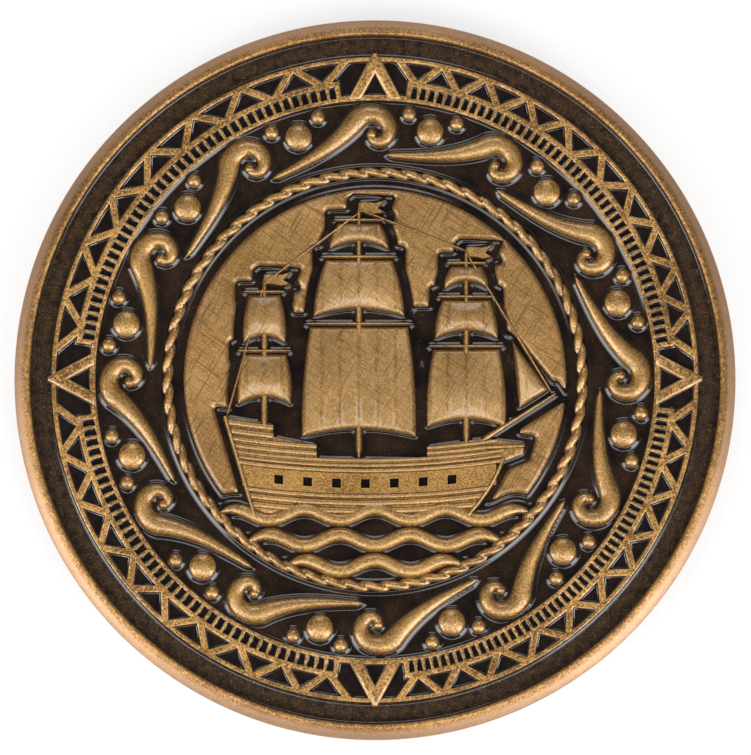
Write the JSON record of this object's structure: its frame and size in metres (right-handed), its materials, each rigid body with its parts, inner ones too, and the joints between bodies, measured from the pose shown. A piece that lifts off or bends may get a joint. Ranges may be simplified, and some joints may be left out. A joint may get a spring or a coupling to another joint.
{
  "type": "pirate coin",
  "caption": "Round cast game coin in antiqued brass with a raised rim, zigzag border, wave ring and sailing ship on its front, a compass star on its back and dark lacquer in the recesses.",
  "frame": {"origin": "centre of the coin, on the plane that its back rim rests on", "axes": "+Z out of the front face, +Y towards the top of the picture, +X to its right"},
  "size_m": [0.045, 0.045, 0.0032],
  "materials": {
    "antique_brass": "antiqued plating, brushed on its high places",
    "channel_lacquer": "thin dark brown lacquer with brass showing through",
    "cell_lacquer": "thick near-black lacquer",
    "field_lacquer": "glossy dark brown lacquer"
  },
  "bodies": {
    "root": {"coin_body": "antique_brass", "front_channel_lacquer": "channel_lacquer", "front_outer_triangle_lacquer": "cell_lacquer", "front_inner_triangle_lacquer": "cell_lacquer", "front_ladder_lacquer": "cell_lacquer", "front_pointer_lacquer": "cell_lacquer", "front_wave_field_lacquer": "field_lacquer", "front_ship_field_lacquer": "field_lacquer", "gun_port_lacquer": "cell_lacquer", "back_channel_lacquer": "channel_lacquer", "back_ladder_lacquer": "cell_lacquer", "back_ring_field_lacquer": "field_lacquer", "back_star_field_lacquer": "field_lacquer"}
  },
  "joints": []
}
